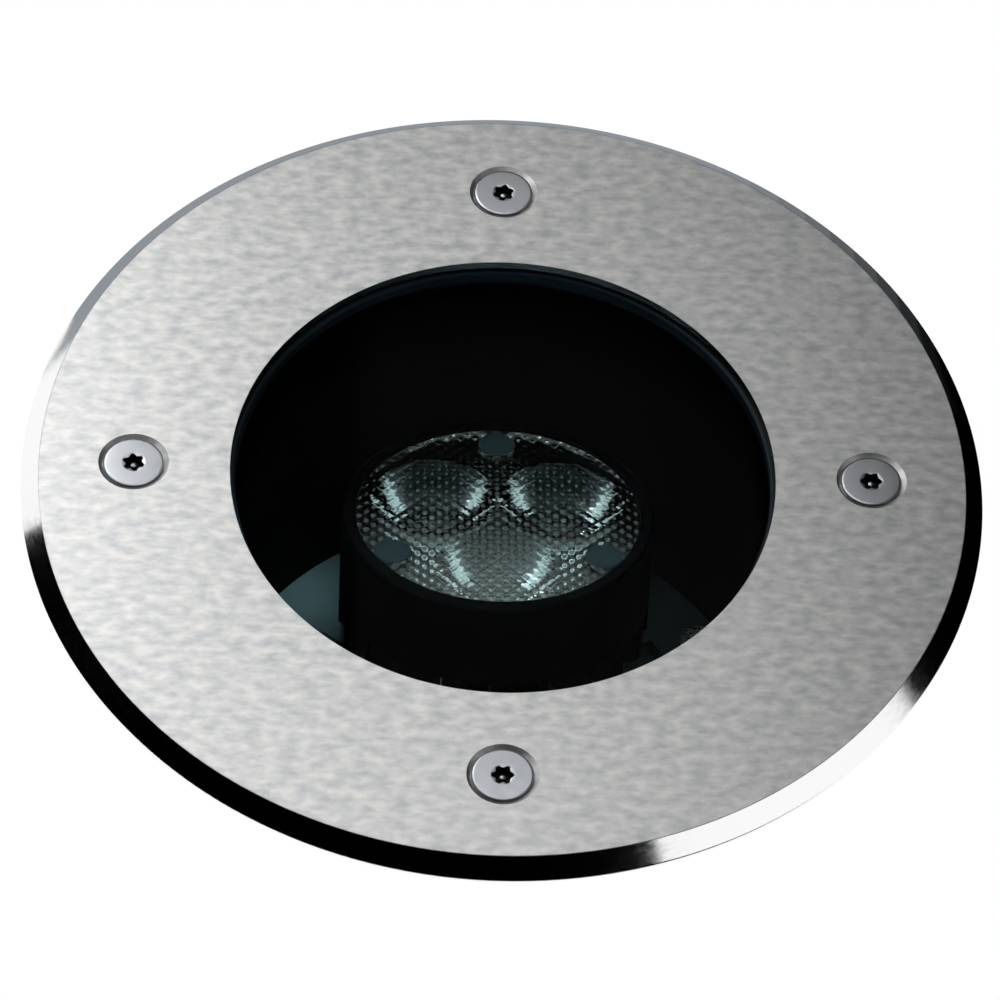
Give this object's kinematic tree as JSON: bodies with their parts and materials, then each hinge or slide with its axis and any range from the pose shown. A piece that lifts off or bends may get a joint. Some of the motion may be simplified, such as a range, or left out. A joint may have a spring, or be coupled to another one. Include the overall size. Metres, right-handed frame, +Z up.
{
  "type": "in ground well light",
  "caption": "Round in-ground well light: flush steel trim ring over thick glass, with a gimbal LED lamp in a cast pot inside a moulded ground sleeve.",
  "frame": {"origin": "on the light's axis, in the ground plane that the trim ring rests on", "axes": "+Z up out of the ground; +X along the tilt axis; the lamp leans towards +Y at rest; conduit hubs on the X axis"},
  "size_m": [0.15, 0.15, 0.143],
  "materials": {
    "brushed_stainless": "brushed face, polished bevel",
    "screw_stainless": "satin",
    "clear_glass": "polished",
    "grey_silicone": "satin",
    "cast_black": "matt powder coat",
    "sleeve_plastic": "fine moulded",
    "black_rubber": "matt",
    "brass": "machined",
    "gland_brass": "nickel plated",
    "plate_steel": "zinc plated",
    "driver_case": "moulded",
    "terminal_plastic": "moulded",
    "nylon": "natural",
    "black_anodised": "black anodised",
    "pad_grey": "matt",
    "board_white": "white solder mask",
    "emitter": "glossy",
    "clear_optic": "polished, moulded"
  },
  "bodies": {
    "ground_body": {"trim_ring": "brushed_stainless", "trim_screws": "screw_stainless", "window_glass": "clear_glass", "window_gasket": "grey_silicone", "housing": "cast_black", "ground_sleeve": "sleeve_plastic", "sleeve_base": "sleeve_plastic", "flange_gasket": "black_rubber", "insert_nuts": "brass", "partition_plate": "plate_steel", "partition_screws": "screw_stainless", "wire_grommet": "black_rubber", "led_driver": "driver_case", "driver_screws": "screw_stainless", "terminal_block": "terminal_plastic", "terminal_screw": "screw_stainless", "earth_screw": "brass", "gland_body": "gland_brass", "gland_locknut": "gland_brass", "gland_seat_ring": "black_rubber", "gland_seal": "black_rubber", "gland_nut": "gland_brass", "pan_bolt": "screw_stainless", "pan_washer": "nylon", "pan_spring_washer": "screw_stainless"},
    "pan_body": {"turntable": "plate_steel", "yoke": "plate_steel", "yoke_screws": "screw_stainless", "tilt_bolt": "screw_stainless", "tilt_nut": "screw_stainless", "tilt_washers": "nylon"},
    "lamp": {"tilt_lug": "black_anodised", "lug_screws": "screw_stainless", "heat_sink": "black_anodised", "thermal_pad": "pad_grey", "led_board": "board_white", "board_screws": "screw_stainless", "led_emitters": "emitter", "triple_lens": "clear_optic", "lens_bezel": "black_anodised"}
  },
  "joints": [
    {"name": "lamp_pan", "type": "hinge", "parent": "ground_body", "child": "pan_body", "pos_m": [0, 0, -0.0706], "axis": [0, 0, 1], "range_deg": [-175, 175]},
    {"name": "lamp_tilt", "type": "hinge", "parent": "pan_body", "child": "lamp", "pos_m": [0, 0, -0.05483], "axis": [1, 0, 0], "range_deg": [0, 30]}
  ]
}
